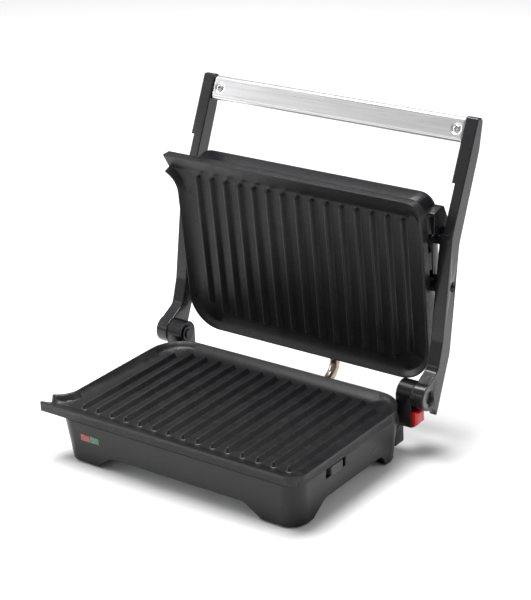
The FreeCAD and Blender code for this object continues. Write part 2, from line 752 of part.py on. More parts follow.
def arm(label, side):
    """Arm with the hinge boss, the pivot boss's seat and the ledge that carries the lid's ear."""
    body = new_body(label, BASE_PLACE)
    width = S.arm_outer - S.arm_inner
    left = S.arm_inner if side > 0 else -S.arm_outer
    pad(body, flat_sketch(body, "YZ_Plane", arm_points(), left), "Sizes.arm_outer - Sizes.arm_inner")
    rod(body, "Sizes.boss_radius", "Sizes.arm_outer - Sizes.arm_inner",
        (left, "Sizes.hinge_y", "Sizes.hinge_z"))
    round_edges(body, "Sizes.arm_round", lambda edge: edge.BoundBox.XLength < 1e-6)
    if side > 0:
        block(body, ("Sizes.tail_relief + 1", 75, 40), (left - 1, 60, 17.5), cut=True)
        rod(body, "Sizes.boss_radius - 0.02", "Sizes.tail_relief + 1",
            (left, "Sizes.hinge_y", "Sizes.hinge_z"))
    ledge = 6.0
    block(body, (width + ledge - 1, 6.8, 5.5), (left - (ledge if side > 0 else -1), 118.3, 169.2))
    block(body, ("Sizes.ear_rebate + 1", 80, 37), (left - 1, 100, 177.5), cut=True)
    for axis, hole, recess in (("hinge", "pin_radius", "counterbore"),
                               ("pivot", "pivot_pin", "pivot_recess")):
        y, z = "Sizes.%s_y" % axis, "Sizes.%s_z" % axis
        rod(body, "Sizes.%s + Sizes.running_gap" % hole, width + 2, (left - 1, y, z), cut=True)
        mouth = S.arm_outer - S.recess_depth if side > 0 else -S.arm_outer - 1
        rod(body, "Sizes." + recess, "Sizes.recess_depth + 1", (mouth, y, z), cut=True)
    return body


def handle_frame():
    """The bar's centre and lean: parallel to the arms' upper front edge, set a little behind it."""
    run = ARM_TIP_FRONT[0] - ARM_BEND_FRONT[0]
    rise = ARM_TIP_FRONT[1] - ARM_BEND_FRONT[1]
    lean = math.atan2(run, rise)
    along = Vector(0, math.sin(lean), math.cos(lean))
    back = Vector(0, math.cos(lean), -math.sin(lean))
    centre = Vector(0, *ARM_TIP_FRONT) - along * (S.handle_height / 2)
    centre += back * (S.handle_inset + S.handle_thick / 2)
    return BASE_PLACE.multiply(Placement(centre, Rotation(X_AXIS, -math.degrees(lean))))


def handle():
    """Stainless bar over a plastic core, held by a screw near each end."""
    half_y, half_z = S.handle_thick / 2, S.handle_height / 2
    outline = box_outline(-half_y, half_y, -half_z, half_z, 4.5)
    wall = S.handle_wall
    inner = box_outline(-half_y + wall, half_y - wall, -half_z + wall, half_z - wall, 3.5)
    end = S.arm_inner - 0.02
    skin = side_slab(outline, -end, end).cut(side_slab(inner, -end - 1, end + 1))
    core = side_slab(inner, -end, end)
    screws = []
    for x in (-S.handle_screw_x, S.handle_screw_x):
        hole = Part.makeCylinder(1.7, 6, Vector(x, -half_y - 1, 0), Vector(0, 1, 0))
        skin = skin.cut(hole)
        core = core.cut(Part.makeCylinder(1.6, 9, Vector(x, -half_y, 0), Vector(0, 1, 0)))
        head = Part.makeCylinder(2.9, 0.9, Vector(x, -half_y - 0.9, 0), Vector(0, 1, 0))
        screws.append(head.fuse(Part.makeCylinder(1.55, 8, Vector(x, -half_y, 0), Vector(0, 1, 0))))
    frame = handle_frame()
    return [keep("handle_bar", skin, frame), keep("handle_core", core, frame),
            keep("handle_screws", Part.makeCompound(screws), frame)]


def turned_pin(label, side, axis, radius, head, inner):
    """Headed pin pushed in from the arm's outer recess."""
    body = new_body(label, BASE_PLACE)
    seat = S.arm_outer - S.recess_depth + 0.1
    y, z = "Sizes.%s_y" % axis, "Sizes.%s_z" % axis
    if side > 0:
        rod(body, radius, seat - inner, (inner, y, z))
        rod(body, head, "Sizes.head_depth", (seat, y, z))
    else:
        rod(body, radius, seat - inner, (-seat, y, z))
        rod(body, head, "Sizes.head_depth", ("-%.3f - Sizes.head_depth" % seat, y, z))
    return body


def hinge_clips():
    """Spring clips that keep the hinge pins in their knuckles."""
    clips = []
    for left in (S.knuckle_inner - 1.4, -S.knuckle_inner + 0.3):
        disc = Part.makeCylinder(7, 1.1, Vector(left, S.hinge_y, S.hinge_z), X_AXIS)
        hole = Part.makeCylinder(S.pin_radius, 2, Vector(left - 0.4, S.hinge_y, S.hinge_z), X_AXIS)
        clips.append(disc.cut(hole))
    return keep("hinge_clips", Part.makeCompound(clips), BASE_PLACE)


# ---------------------------------------------------------------- lid, drawn shut


def lid_plane():
    return S.rib_top + S.plate_gap


def lid_block(inset, low, high, rear_high, top_inset=0.0):
    """Cover's volume: upright walls, flat back, and a slope down to the rear edge."""
    side = S.lid_half_width - inset
    front = -(S.lid_front - inset)
    rear = S.lid_rear - inset
    corner = 15 - inset
    rear_corner = 20 - inset
    body = slab([(-side, front, corner), (side, front, corner), (side, rear, rear_corner),
                 (-side, rear, rear_corner)], low, high)
    over = high + 5
    slope = [(rear - S.lid_slope, high, 0), (rear + 5, rear_high - 5 * (high - rear_high) / S.lid_slope, 0),
             (rear + 5, over, 0), (rear - S.lid_slope, over, 0)]
    return body.cut(side_slab(slope, -200, 200))


def rounded_back(solid, floor, radius):
    """Rounds every edge of the cover's back, and leaves the upright corners and the rim."""
    edges = []
    for edge in solid.Edges:
        box = edge.BoundBox
        if box.ZMin > floor + 2:
            edges.append(edge)
    return solid.makeFillet(radius, edges)


def upper_housing():
    """Upper casing: a shell with a rounded back, ears for the arms' ledges and pivot bosses."""
    plane = lid_plane()
    low, high = plane + S.lid_rim, plane + S.lid_depth
    rear_high = plane + S.lid_rear_depth
    outer = rounded_back(lid_block(0, low, high, rear_high), low, 9)
    inner = rounded_back(lid_block(S.wall, low - 1, high - S.wall, rear_high - S.wall), low, 6.5)
    shell = outer.cut(inner)
    y, z = lid_pivot_y(), plane + S.pivot_height
    for side in (-1, 1):
        start = S.lid_half_width - 6 if side > 0 else -(S.arm_inner - S.side_gap)
        length = S.arm_inner - S.side_gap - S.lid_half_width + 6
        boss = Part.makeCylinder(7, length, Vector(start, y, z), X_AXIS)
        boss = boss.makeFillet(S.small_round, across(boss))
        # The ear rests on the arm's ledge: drawn open, then turned shut with the lid.
        ear = side_slab([(121.5, 175.2, 0.8), (134.0, 175.2, 2), (135.0, 184.0, 4), (127.5, 199.0, 2.5),
                         (113.0, 196.0, 2), (112.5, 178.5, 2)],
                        S.lid_half_width - 1.5 if side > 0 else -(S.arm_inner - 0.8),
                        S.arm_inner - 0.8 if side > 0 else -(S.lid_half_width - 1.5))
        ear = ear.makeFillet(S.small_round, across(ear))
        ear.Placement = lid_placement().inverse().multiply(BASE_PLACE).multiply(ear.Placement)
        shell = shell.fuse(boss).fuse(ear)
    for x, rear in lid_post_places():
        post = Part.makeCylinder(S.post_radius, high - low, Vector(x, rear, low))
        shell = shell.fuse(post.common(outer))
    for x, rear in lid_post_places():
        shell = shell.cut(Part.makeCylinder(1.5, 9, Vector(x, rear, low - 1)))
    bore = Part.makeCylinder(S.pivot_pin + S.running_gap, 300, Vector(-150, y, z), X_AXIS)
    reach = S.lid_half_width + 20
    top = 2 * (S.rib_top + S.plate_gap / 2)
    window = slab(box_outline(104, reach, -S.latch_y - 13.5, -S.latch_y + 13.5),
                  low - 1, top - 29.5)
    lead = tube_hole()
    return keep("upper_housing", shell.cut(bore).cut(window).cut(lead), lid_placement())


def tube_hole():
    """Hole in the lid's rear edge where the supply conduit comes in."""
    hole = Part.makeCylinder(S.conduit_radius + 0.4, 30, Vector(S.conduit_x, S.conduit_y, 40))
    hole.Placement = lid_placement().inverse().multiply(BASE_PLACE)
    return hole


def lid_post_places():
    """Centres of the cover's four screw posts."""
    return [(x, y) for x in (-108, 108) for y in (-60, 52)]


def lid_screws():
    """Screws that hold the upper seat ring to the cover's posts."""
    screws = []
    low = lid_plane() + S.plate_skirt
    for x, y in lid_post_places():
        screws.append(Part.makeCylinder(1.5, 9, Vector(x, y, low + 0.3)))
    return keep("lid_screws", Part.makeCompound(screws), lid_placement())


def conduit():
    """Sleeved supply lead from the base's rear wall up into the lid, whole along its route."""
    points = [(S.conduit_x, 72, S.conduit_z), (S.conduit_x, S.conduit_y, S.conduit_z),
              (S.conduit_x, S.conduit_y, S.conduit_top)]
    return keep("supply_conduit", tube(points, S.conduit_bend, S.conduit_radius), BASE_PLACE)


def conduit_bushes():
    """Plastic bush in the base's rear wall, and one in the lid's rear edge."""
    lower = Part.makeCylinder(S.conduit_radius + 2.1, 4.5, Vector(S.conduit_x, 73.5, S.conduit_z),
                              Vector(0, 1, 0))
    lower = lower.cut(Part.makeCylinder(S.conduit_radius, 20, Vector(S.conduit_x, 66, S.conduit_z),
                                        Vector(0, 1, 0)))
    return keep("conduit_bush", lower, BASE_PLACE)


# ---------------------------------------------------------------- assembly

plate_shape = grill_plate()
keep("lower_grill_plate", plate_shape, BASE_PLACE)
keep("upper_grill_plate", mirrored_up(plate_shape), lid_placement())
base = base_housing()
base_cover()
cover_screws()
rubber_feet()
seat_ring("lower_seat_ring", False)
seat_ring("upper_seat_ring", True)
heating_element("lower_heating_element", False)
heating_element("upper_heating_element", True)
reflector("lower_reflector", False)
reflector("upper_reflector", True)
electrics()
lamp_lens("red_lens", -95.2, -85.75)
lamp_lens("green_lens", -85.65, -76.2)
inlet_gland()
hinge_bracket("left_hinge_bracket", -1)
hinge_bracket("right_hinge_bracket", 1)
bracket_screws()
release_button()
release_spring()
plate_latch("lower_plate_latch", False)
plate_latch("upper_plate_latch", True)
latch_spring("lower_latch_spring", False)
latch_spring("upper_latch_spring", True)
arm("left_arm", -1)
arm("right_arm", 1)
handle()
turned_pin("left_hinge_pin", -1, "hinge", "Sizes.pin_radius", "Sizes.pin_head", S.knuckle_inner - 2.5)
turned_pin("right_hinge_pin", 1, "hinge", "Sizes.pin_radius", "Sizes.pin_head", S.knuckle_inner - 2.5)
hinge_clips()
turned_pin("left_pivot_pin", -1, "pivot", "Sizes.pivot_pin", "Sizes.pivot_head", S.lid_half_width - 5)
turned_pin("right_pivot_pin", 1, "pivot", "Sizes.pivot_pin", "Sizes.pivot_head", S.lid_half_width - 5)
upper_housing()
lid_screws()
conduit()
conduit_bushes()

doc.recompute()

# ---------------------------------------------------------------- export

os.makedirs("parts", exist_ok=True)
pieces = [item for item in doc.Objects
          if item.TypeId in ("PartDesign::Body", "Part::Feature")]
for item in doc.Objects:
    if "Invalid" in item.State or "Error" in item.State:
        raise RuntimeError("%s has failed: %s" % (item.Label, item.State))
for item in pieces:
    if item.Shape.isNull() or not item.Shape.isValid():
        raise RuntimeError("%s has no sound shape" % item.Label)
for item in pieces:
    item.Shape.exportStep("parts/%s.step" % item.Label)
    box = item.Shape.BoundBox
    print("%-24s %9.1f mm3  solids %d  x %.1f..%.1f y %.1f..%.1f z %.1f..%.1f" % (
        item.Label, item.Shape.Volume, len(item.Shape.Solids),
        box.XMin, box.XMax, box.YMin, box.YMax, box.ZMin, box.ZMax))
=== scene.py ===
import json
import math

import bmesh
import bpy
from mathutils import Matrix, Vector


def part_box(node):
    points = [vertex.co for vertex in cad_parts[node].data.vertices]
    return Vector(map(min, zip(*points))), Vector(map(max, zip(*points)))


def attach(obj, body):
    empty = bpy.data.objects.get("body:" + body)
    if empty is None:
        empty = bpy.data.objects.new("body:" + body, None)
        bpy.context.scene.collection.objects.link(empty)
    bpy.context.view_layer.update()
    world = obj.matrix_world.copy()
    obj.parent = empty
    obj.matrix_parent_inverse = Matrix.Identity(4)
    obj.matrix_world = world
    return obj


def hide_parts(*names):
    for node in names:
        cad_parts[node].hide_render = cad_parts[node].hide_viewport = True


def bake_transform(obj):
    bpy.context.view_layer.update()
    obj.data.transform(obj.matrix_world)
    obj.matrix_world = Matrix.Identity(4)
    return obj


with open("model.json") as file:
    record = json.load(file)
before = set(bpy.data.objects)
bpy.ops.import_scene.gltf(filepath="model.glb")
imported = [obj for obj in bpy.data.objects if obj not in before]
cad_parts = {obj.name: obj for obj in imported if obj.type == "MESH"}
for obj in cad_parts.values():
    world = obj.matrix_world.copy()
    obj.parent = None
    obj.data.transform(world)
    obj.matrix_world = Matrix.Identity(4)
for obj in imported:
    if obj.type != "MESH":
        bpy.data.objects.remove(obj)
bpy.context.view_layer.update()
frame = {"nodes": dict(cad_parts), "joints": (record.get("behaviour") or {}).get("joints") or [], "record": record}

# An open contact grill: the looks, in metres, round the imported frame.
# "Plate frame" means a plate lying flat: X right, Y back from the plate's centre, Z up from the rib crests.

MM = 0.001
PLATE_FRONT = 79.5 * MM
RIB_TOP = 47.5 * MM
PLATE_GAP = 3.4 * MM
PIVOT_HEIGHT = 17.9 * MM
LID_SWING = math.radians(85.4)
RIB_COUNT = 15
RIB_PITCH = 14.5 * MM
RIB_LENGTH = 124.5 * MM
RIB_HEIGHT = 4.0 * MM
END_RIB_CUT = 7.5 * MM

PLATE_CENTRE_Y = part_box("lower_grill_plate")[0].y + PLATE_FRONT
AXES = {joint["name"]: Vector(joint["pos_m"]) for joint in frame["joints"] if "pos_m" in joint}


def base_place():
    """Plate frame of the lower plate."""
    return Matrix.Translation((0, PLATE_CENTRE_Y, RIB_TOP))


def lid_place():
    """Plate frame of the upper plate: turned over, shut on the lower plate, and then swung open."""
    hinge, pivot = AXES["lid_close"], AXES["lid_float"]
    reach = (pivot - hinge).length
    rise = RIB_TOP + PLATE_GAP + PIVOT_HEIGHT - hinge.z
    shut = Vector((0, hinge.y - math.sqrt(reach ** 2 - rise ** 2), hinge.z + rise))
    opened = Vector((0, pivot.y, pivot.z))
    swing = Matrix.Translation(opened) @ Matrix.Rotation(-LID_SWING, 4, "X") @ Matrix.Translation(-shut)
    upside_down = Matrix.Diagonal((1, 1, -1, 1))
    return swing @ Matrix.Translation((0, PLATE_CENTRE_Y, RIB_TOP + PLATE_GAP)) @ upside_down


# ---------------------------------------------------------------- finishes


class Finish:
    """A material with a Principled shader, and short calls for the nodes that feed it."""

    def __init__(self, name, colour, roughness, metallic=0.0, **sockets):
        self.material = bpy.data.materials.new(name)
        self.material.use_nodes = True
        self.nodes = self.material.node_tree.nodes
        self.links = self.material.node_tree.links
        self.shader = self.nodes["Principled BSDF"]
        self.coords = self.nodes.new("ShaderNodeTexCoord").outputs["Object"]
        self.set("Base Color", (*colour, 1))
        self.set("Roughness", roughness)
        self.set("Metallic", metallic)
        for socket, value in sockets.items():
            self.set(socket.replace("_", " "), value)

    def set(self, socket, value):
        self.shader.inputs[socket].default_value = value

    def feed(self, socket, output):
        self.links.new(output, self.shader.inputs[socket])

    def stretched(self, scale):
        mapping = self.nodes.new("ShaderNodeMapping")
        mapping.inputs["Scale"].default_value = scale
        self.links.new(self.coords, mapping.inputs["Vector"])
        return mapping.outputs["Vector"]

    def noise(self, scale, detail=3.0, stretch=(1, 1, 1)):
        noise = self.nodes.new("ShaderNodeTexNoise")
        noise.inputs["Scale"].default_value = scale
        noise.inputs["Detail"].default_value = detail
        self.links.new(self.stretched(stretch), noise.inputs["Vector"])
        return noise.outputs["Fac"]

    def cells(self, scale, output="Distance", stretch=(1, 1, 1)):
        cells = self.nodes.new("ShaderNodeTexVoronoi")
        cells.inputs["Scale"].default_value = scale
        self.links.new(self.stretched(stretch), cells.inputs["Vector"])
        return cells.outputs[output]

    def ramp(self, value, from_low, from_high, to_low, to_high):
        ramp = self.nodes.new("ShaderNodeMapRange")
        for socket, number in (("From Min", from_low), ("From Max", from_high),
                               ("To Min", to_low), ("To Max", to_high)):
            ramp.inputs[socket].default_value = number
        self.links.new(value, ramp.inputs["Value"])
        return ramp.outputs["Result"]

    def blend(self, factor, colour_a, colour_b):
        mix = self.nodes.new("ShaderNodeMix")
        mix.data_type = "RGBA"
        mix.inputs[6].default_value = (*colour_a, 1)
        mix.inputs[7].default_value = (*colour_b, 1)
        self.links.new(factor, mix.inputs[0])
        return mix.outputs[2]

    def add(self, a, b):
        total = self.nodes.new("ShaderNodeMath")
        total.operation = "ADD"
        self.links.new(a, total.inputs[0])
        self.links.new(b, total.inputs[1])
        return total.outputs[0]

    def soft_edges(self, radius=0.0005):
        """Normals that turn smoothly over sharp edges, as if each were slightly rounded."""
        edges = self.nodes.new("ShaderNodeBevel")
        edges.samples = 6
        edges.inputs["Radius"].default_value = radius
        return edges.outputs["Normal"]

    def bump(self, height, distance, strength=1.0):
        bump = self.nodes.new("ShaderNodeBump")
        bump.inputs["Distance"].default_value = distance
        bump.inputs["Strength"].default_value = strength
        self.links.new(height, bump.inputs["Height"])
        self.links.new(self.soft_edges(), bump.inputs["Normal"])
        self.feed("Normal", bump.outputs["Normal"])


def moulded(name, dark, light, roughness, grain, depth, coat=0.0, gloss_spread=0.08):
    """Moulded plastic: a fine grain, faint cloudiness, and gloss that wanders a little."""
    finish = Finish(name, dark, roughness, Coat_Weight=coat, Coat_Roughness=0.12,
                    Specular_IOR_Level=0.32)
    cloud = finish.noise(22, 4)
    fine = finish.noise(grain, 2)
    finish.feed("Base Color", finish.blend(finish.ramp(cloud, 0.35, 0.65, 0, 1), dark, light))
    finish.feed("Roughness", finish.ramp(finish.noise(60, 5), 0.3, 0.7,
                                         roughness - gloss_spread / 2, roughness + gloss_spread / 2))
    finish.bump(fine, depth, 0.35)
    return finish.material


def coated_plate():
    """Non-stick coating: black with tiny bright flecks, a soft orange-peel and a satin gloss."""
    black, grey, fleck = (0.006, 0.006, 0.007), (0.011, 0.011, 0.012), (0.12, 0.12, 0.125)
    finish = Finish("non-stick coating", black, 0.4, Specular_IOR_Level=0.36)
    cloud = finish.noise(35, 5)
    flecks = finish.ramp(finish.noise(1700, 2), 0.66, 0.74, 0, 1)
    ground = finish.blend(finish.ramp(cloud, 0.3, 0.7, 0, 1), black, grey)
    mix = finish.nodes.new("ShaderNodeMix")
    mix.data_type = "RGBA"
    finish.links.new(flecks, mix.inputs[0])
    finish.links.new(ground, mix.inputs[6])
    mix.inputs[7].default_value = (*fleck, 1)
    finish.feed("Base Color", mix.outputs[2])
    finish.feed("Roughness", finish.ramp(finish.noise(140, 4), 0.3, 0.7, 0.34, 0.46))
    finish.bump(finish.add(finish.noise(900, 3), finish.noise(2600, 2)), 0.00005, 0.5)
    return finish.material


def brushed(name, colour, roughness, stretch, depth=0.00003, scale=900, spread=0.16):
    """Metal with fine lines along one direction, drawn by a noise that is stretched that way."""
    dark = tuple(channel * 0.82 for channel in colour)
    finish = Finish(name, colour, roughness, 1.0)
    lines = finish.noise(scale, 3, stretch)
    patches = finish.noise(18, 3)
    finish.feed("Base Color", finish.blend(finish.ramp(finish.add(lines, patches), 0.7, 1.3, 0, 1),
                                           dark, colour))
    finish.feed("Roughness", finish.ramp(lines, 0.3, 0.7, roughness - spread / 2,
                                         roughness + spread / 2))
    finish.bump(lines, depth, 0.4)
    return finish.material


def lens(name, deep, bright):
    """Tinted lamp lens: clear coat over a fine moulded prism pattern."""
    finish = Finish(name, deep, 0.18, Coat_Weight=0.6, Coat_Roughness=0.05)
    prisms = finish.cells(900)
    finish.feed("Base Color", finish.blend(finish.ramp(prisms, 0.15, 0.6, 1, 0), deep, bright))
    finish.bump(prisms, 0.0001, 0.5)
    return finish.material


def spangled():
    """Galvanised sheet, with the flat crystals of its zinc."""
    finish = Finish("galvanised sheet", (0.52, 0.53, 0.54), 0.4, 1.0)
    crystals = finish.cells(130, "Color")
    split = finish.nodes.new("ShaderNodeSeparateColor")
    finish.links.new(crystals, split.inputs["Color"])
    shade = split.outputs["Red"]
    finish.feed("Base Color", finish.blend(shade, (0.42, 0.43, 0.44), (0.62, 0.63, 0.64)))
    finish.feed("Roughness", finish.ramp(shade, 0, 1, 0.3, 0.5))
    return finish.material


def heat_tinted():
    """Heater sheath: dark steel that the heat has turned brown and blue in places."""
    finish = Finish("heater sheath", (0.2, 0.18, 0.16), 0.45, 1.0)
    tint = finish.noise(25, 3)
    finish.feed("Base Color", finish.blend(finish.ramp(tint, 0.35, 0.65, 0, 1),
                                           (0.22, 0.17, 0.13), (0.15, 0.16, 0.2)))
    finish.bump(finish.noise(1200, 2), 0.00005, 0.4)
    return finish.material


def sleeved_metal():
    """Supply conduit: a warm, polished sleeve with faint rings along it."""
    finish = Finish("conduit sleeve", (0.42, 0.34, 0.27), 0.26, 1.0)
    smudges = finish.noise(70, 4)
    finish.feed("Base Color", finish.blend(finish.ramp(smudges, 0.35, 0.65, 0, 1),
                                           (0.3, 0.24, 0.19), (0.5, 0.43, 0.36)))
    finish.feed("Roughness", finish.ramp(smudges, 0.3, 0.7, 0.2, 0.36))
    finish.bump(finish.noise(1500, 2, (1, 0.2, 0.2)), 0.00003, 0.3)
    return finish.material


BLACK, SOOT = (0.004, 0.004, 0.005), (0.007, 0.007, 0.0085)

FINISHES = {
    "housing_black": moulded("satin black housing", BLACK, SOOT, 0.3, 1900, 0.00003),
    "lid_black": moulded("smooth black cover", BLACK, SOOT, 0.24, 2400, 0.00002),
    "arm_black": moulded("polished black arm", (0.01, 0.01, 0.011), (0.018, 0.018, 0.02), 0.26, 2200,
                         0.00002, 0.35),
    "handle_core_black": moulded("black handle core", BLACK, SOOT, 0.45, 1500, 0.00003),
    "heat_ring_black": moulded("heat-proof black", BLACK, SOOT, 0.55, 1500, 0.00004),
    "latch_black": moulded("black latch", (0.02, 0.02, 0.022), (0.035, 0.035, 0.037), 0.34, 1800, 0.00003),
    "foot_rubber": moulded("foot rubber", (0.012, 0.012, 0.012), (0.025, 0.025, 0.025), 0.8, 1300, 0.00008),
    "terminal_white": moulded("terminal moulding", (0.62, 0.6, 0.55), (0.72, 0.7, 0.66), 0.5, 1500,
                              0.00003),
    "board_green": moulded("board laminate", (0.02, 0.12, 0.04), (0.03, 0.16, 0.06), 0.4, 700, 0.00003),
    "button_red": moulded("glossy red button", (0.5, 0.006, 0.008), (0.6, 0.01, 0.012), 0.22, 2400,
                          0.00002, 0.5),
    "nonstick_plate": coated_plate(),
    "galvanised_sheet": spangled(),
    "screw_steel": brushed("zinc-plated steel", (0.6, 0.6, 0.61), 0.3, (1, 1, 1)),
    "dark_steel": brushed("blackened steel", (0.05, 0.05, 0.055), 0.35, (1, 1, 1)),
    "spring_steel": brushed("spring steel", (0.45, 0.45, 0.46), 0.35, (1, 1, 1)),
    "heater_steel": heat_tinted(),
    "reflector_aluminium": brushed("bright aluminium sheet", (0.8, 0.8, 0.81), 0.25, (0.05, 1, 1)),
    "lens_red": lens("red lamp lens", (0.17, 0.002, 0.003), (0.48, 0.015, 0.012)),
    "lens_green": lens("green lamp lens", (0.0, 0.06, 0.022), (0.015, 0.24, 0.09)),
    "conduit_metal": sleeved_metal(),
    "handle_stainless": brushed("polished stainless steel", (0.86, 0.86, 0.87), 0.3, (0.012, 1, 1),
                                0.00001, 1400, 0.06),
}


# ---------------------------------------------------------------- mesh tools


MERGE_DISTANCE = 0.000004
FLAT_LIMIT = math.radians(0.4)
SMOOTH_LIMIT = math.radians(40)


def piece_from(bm, name):
    mesh = bpy.data.meshes.new(name)
    bm.to_mesh(mesh)
    bm.free()
    made = bpy.data.objects.new(name, mesh)
    bpy.context.scene.collection.objects.link(made)
    return made


def baked(thing, name=None):
    """Turns an object with live modifiers into a plain mesh of the same name."""
    name = name or thing.name
    mesh = bpy.data.meshes.new_from_object(thing.evaluated_get(bpy.context.evaluated_depsgraph_get()))
    bpy.data.objects.remove(thing)
    made = bpy.data.objects.new(name, mesh)
    mesh.name = name
    bpy.context.scene.collection.objects.link(made)
    return made


def dress(piece, slot, body):
    """Gives a finished piece its material and its body."""
    piece.data.materials.clear()
    piece.data.materials.append(FINISHES[slot])
    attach(piece, body)
    return piece


def merged_copy(node):
    """The node's mesh, with its loose triangles joined."""
    bm = bmesh.new()
    bm.from_mesh(frame["nodes"][node].data)
    bmesh.ops.remove_doubles(bm, verts=bm.verts, dist=MERGE_DISTANCE)
    bmesh.ops.dissolve_degenerate(bm, dist=MERGE_DISTANCE, edges=bm.edges)
    return bm


def flatten_areas(bm):
    bmesh.ops.dissolve_limit(bm, angle_limit=FLAT_LIMIT, use_dissolve_boundaries=False,
                             verts=bm.verts, edges=bm.edges, delimit=set())


SHARP = math.radians(28)


def weigh_edges(bm, width):
    """Marks sharp edges for a bevel, narrower wherever the faces beside them are narrow."""
    weight = bm.edges.layers.float.get("bevel_weight_edge") or bm.edges.layers.float.new("bevel_weight_edge")
    sharp = {e for e in bm.edges if e.is_manifold and e.calc_face_angle(0) > SHARP}

    def room(vert):
        inside = [e.calc_length() for e in vert.link_edges if e not in sharp]
        crossing = [e for e in vert.link_edges if e in sharp]
        if len(crossing) > 2:
            inside += [e.calc_length() for e in crossing]
        return min(inside, default=width * 3) * 0.4

    for edge in sharp:
        edge[weight] = min(1.0, min(room(v) for v in edge.verts) / width)


def rounded(bm, name, width, segments=3):
    """Rounds the sharp edges and shades the rest smooth."""
    weigh_edges(bm, width)
    for face in bm.faces:
        face.smooth = True
    made = piece_from(bm, name)
    bevel = made.modifiers.new("edges", "BEVEL")
    bevel.limit_method = "WEIGHT"
    bevel.width = width
    bevel.segments = segments
    bevel.use_clamp_overlap = False
    bevel.harden_normals = False
    made = baked(made)
    keep_shading(made)
    return made


def keep_shading(made):
    """Smooth shading that still breaks at edges left sharp, with flat areas ruling the normals."""
    made.data.set_sharp_from_angle(angle=SMOOTH_LIMIT)
    normals = made.modifiers.new("normals", "WEIGHTED_NORMAL")
    normals.keep_sharp = True
    bpy.context.view_layer.update()
    mesh = bpy.data.meshes.new_from_object(made.evaluated_get(bpy.context.evaluated_depsgraph_get()))
    made.modifiers.clear()
    made.data = mesh


def smoothed(node, slot, body):
    """A CAD node's shape, already rounded, with shading that runs smoothly over its roundings."""
    bm = merged_copy(node)
    for face in bm.faces:
        face.smooth = True
    made = piece_from(bm, node + "_finished")
    keep_shading(made)
    dress(made, slot, body)
    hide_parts(node)
    return made


def refined(node, slot, body, width, segments=3):
    """A CAD node's shape with its edges rounded, standing for that node."""
    bm = merged_copy(node)
    flatten_areas(bm)
    made = rounded(bm, node + "_finished", width, segments)
    dress(made, slot, body)
    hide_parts(node)
    return made


def stadium(half_width, half_length, height, points=10):
    """Ring of a long shape with half-round ends, along Y."""
    ring = []
    straight = half_length - half_width
    for end in (1, -1):
        for i in range(points + 1):
            angle = math.pi * i / points
            ring.append(Vector((end * half_width * math.cos(angle),
                                end * (straight + half_width * math.sin(angle)), height)))
    return ring


def lofted(rings, name, close_first=True, close_last=True):
    """Joins rings of equal length into a skin."""
    bm = bmesh.new()
    rows = [[bm.verts.new(p) for p in ring] for ring in rings]
    count = len(rows[0])
    for lower, upper in zip(rows, rows[1:]):
        for i in range(count):
            bm.faces.new((lower[i], lower[(i + 1) % count], upper[(i + 1) % count], upper[i]))
    if close_first:
        bm.faces.new(list(reversed(rows[0])))
    if close_last:
        bm.faces.new(rows[-1])
    bmesh.ops.recalc_face_normals(bm, faces=bm.faces)
    for face in bm.faces:
        face.smooth = True
    return piece_from(bm, name)


# ---------------------------------------------------------------- rows of equal pieces


def row_tree():
    """Node tree that sets copies of a piece in a row: count, first place and step are inputs."""
    tree = bpy.data.node_groups.new("row of pieces", "GeometryNodeTree")
    sockets = {}
    tree.interface.new_socket("Geometry", in_out="OUTPUT", socket_type="NodeSocketGeometry")
    for name, kind in (("Piece", "Object"), ("Count", "Int"), ("First", "Vector"), ("Step", "Vector"),
                       ("Finish", "Material")):
        made = tree.interface.new_socket(name, in_out="INPUT", socket_type="NodeSocket" + kind)
        sockets[name] = made.identifier
    source = tree.nodes.new("NodeGroupInput")
    line = tree.nodes.new("GeometryNodeMeshLine")
    piece = tree.nodes.new("GeometryNodeObjectInfo")
    place = tree.nodes.new("GeometryNodeInstanceOnPoints")
    real = tree.nodes.new("GeometryNodeRealizeInstances")
    finish = tree.nodes.new("GeometryNodeSetMaterial")
    sink = tree.nodes.new("NodeGroupOutput")
    link = tree.links.new
    link(source.outputs["Count"], line.inputs["Count"])
    link(source.outputs["First"], line.inputs["Start Location"])
    link(source.outputs["Step"], line.inputs["Offset"])
    link(source.outputs["Piece"], piece.inputs["Object"])
    link(line.outputs["Mesh"], place.inputs["Points"])
    link(piece.outputs["Geometry"], place.inputs["Instance"])
    link(place.outputs["Instances"], real.inputs["Geometry"])
    link(real.outputs["Geometry"], finish.inputs["Geometry"])
    link(source.outputs["Finish"], finish.inputs["Material"])
    link(finish.outputs["Geometry"], sink.inputs["Geometry"])
    return tree, sockets


ROW_TREE, ROW_SOCKETS = row_tree()


def row(name, prototype, count, first, step, slot):
    """Plain mesh with copies of a prototype in a row."""
    carrier = bpy.data.objects.new(name, bpy.data.meshes.new(name))
    bpy.context.scene.collection.objects.link(carrier)
    modifier = carrier.modifiers.new("row", "NODES")
    modifier.node_group = ROW_TREE
    for socket, value in (("Piece", prototype), ("Count", count), ("First", first), ("Step", step),
                          ("Finish", FINISHES[slot])):
        modifier[ROW_SOCKETS[socket]] = value
    return baked(carrier)


def joined(name, parts):
    """One mesh from several, which are used up."""
    bm = bmesh.new()
    for part in parts:
        bm.from_mesh(part.data)
        bpy.data.objects.remove(part)
    return piece_from(bm, name)


def placed(piece, matrix):
    """Moves a piece's mesh, and turns its faces back out if the move mirrors it."""
    piece.data.transform(matrix)
    if matrix.determinant() < 0:
        piece.data.flip_normals()
    return piece


# ---------------------------------------------------------------- grill plates

RIB_SECTION = [(3.75, -4.03), (3.1, -3.85), (2.72, -3.45), (1.42, -0.95), (1.2, -0.55), (0.92, -0.24),
               (0.55, -0.06), (0.2, 0.0)]
RIB_FOOT = 3.3 * MM


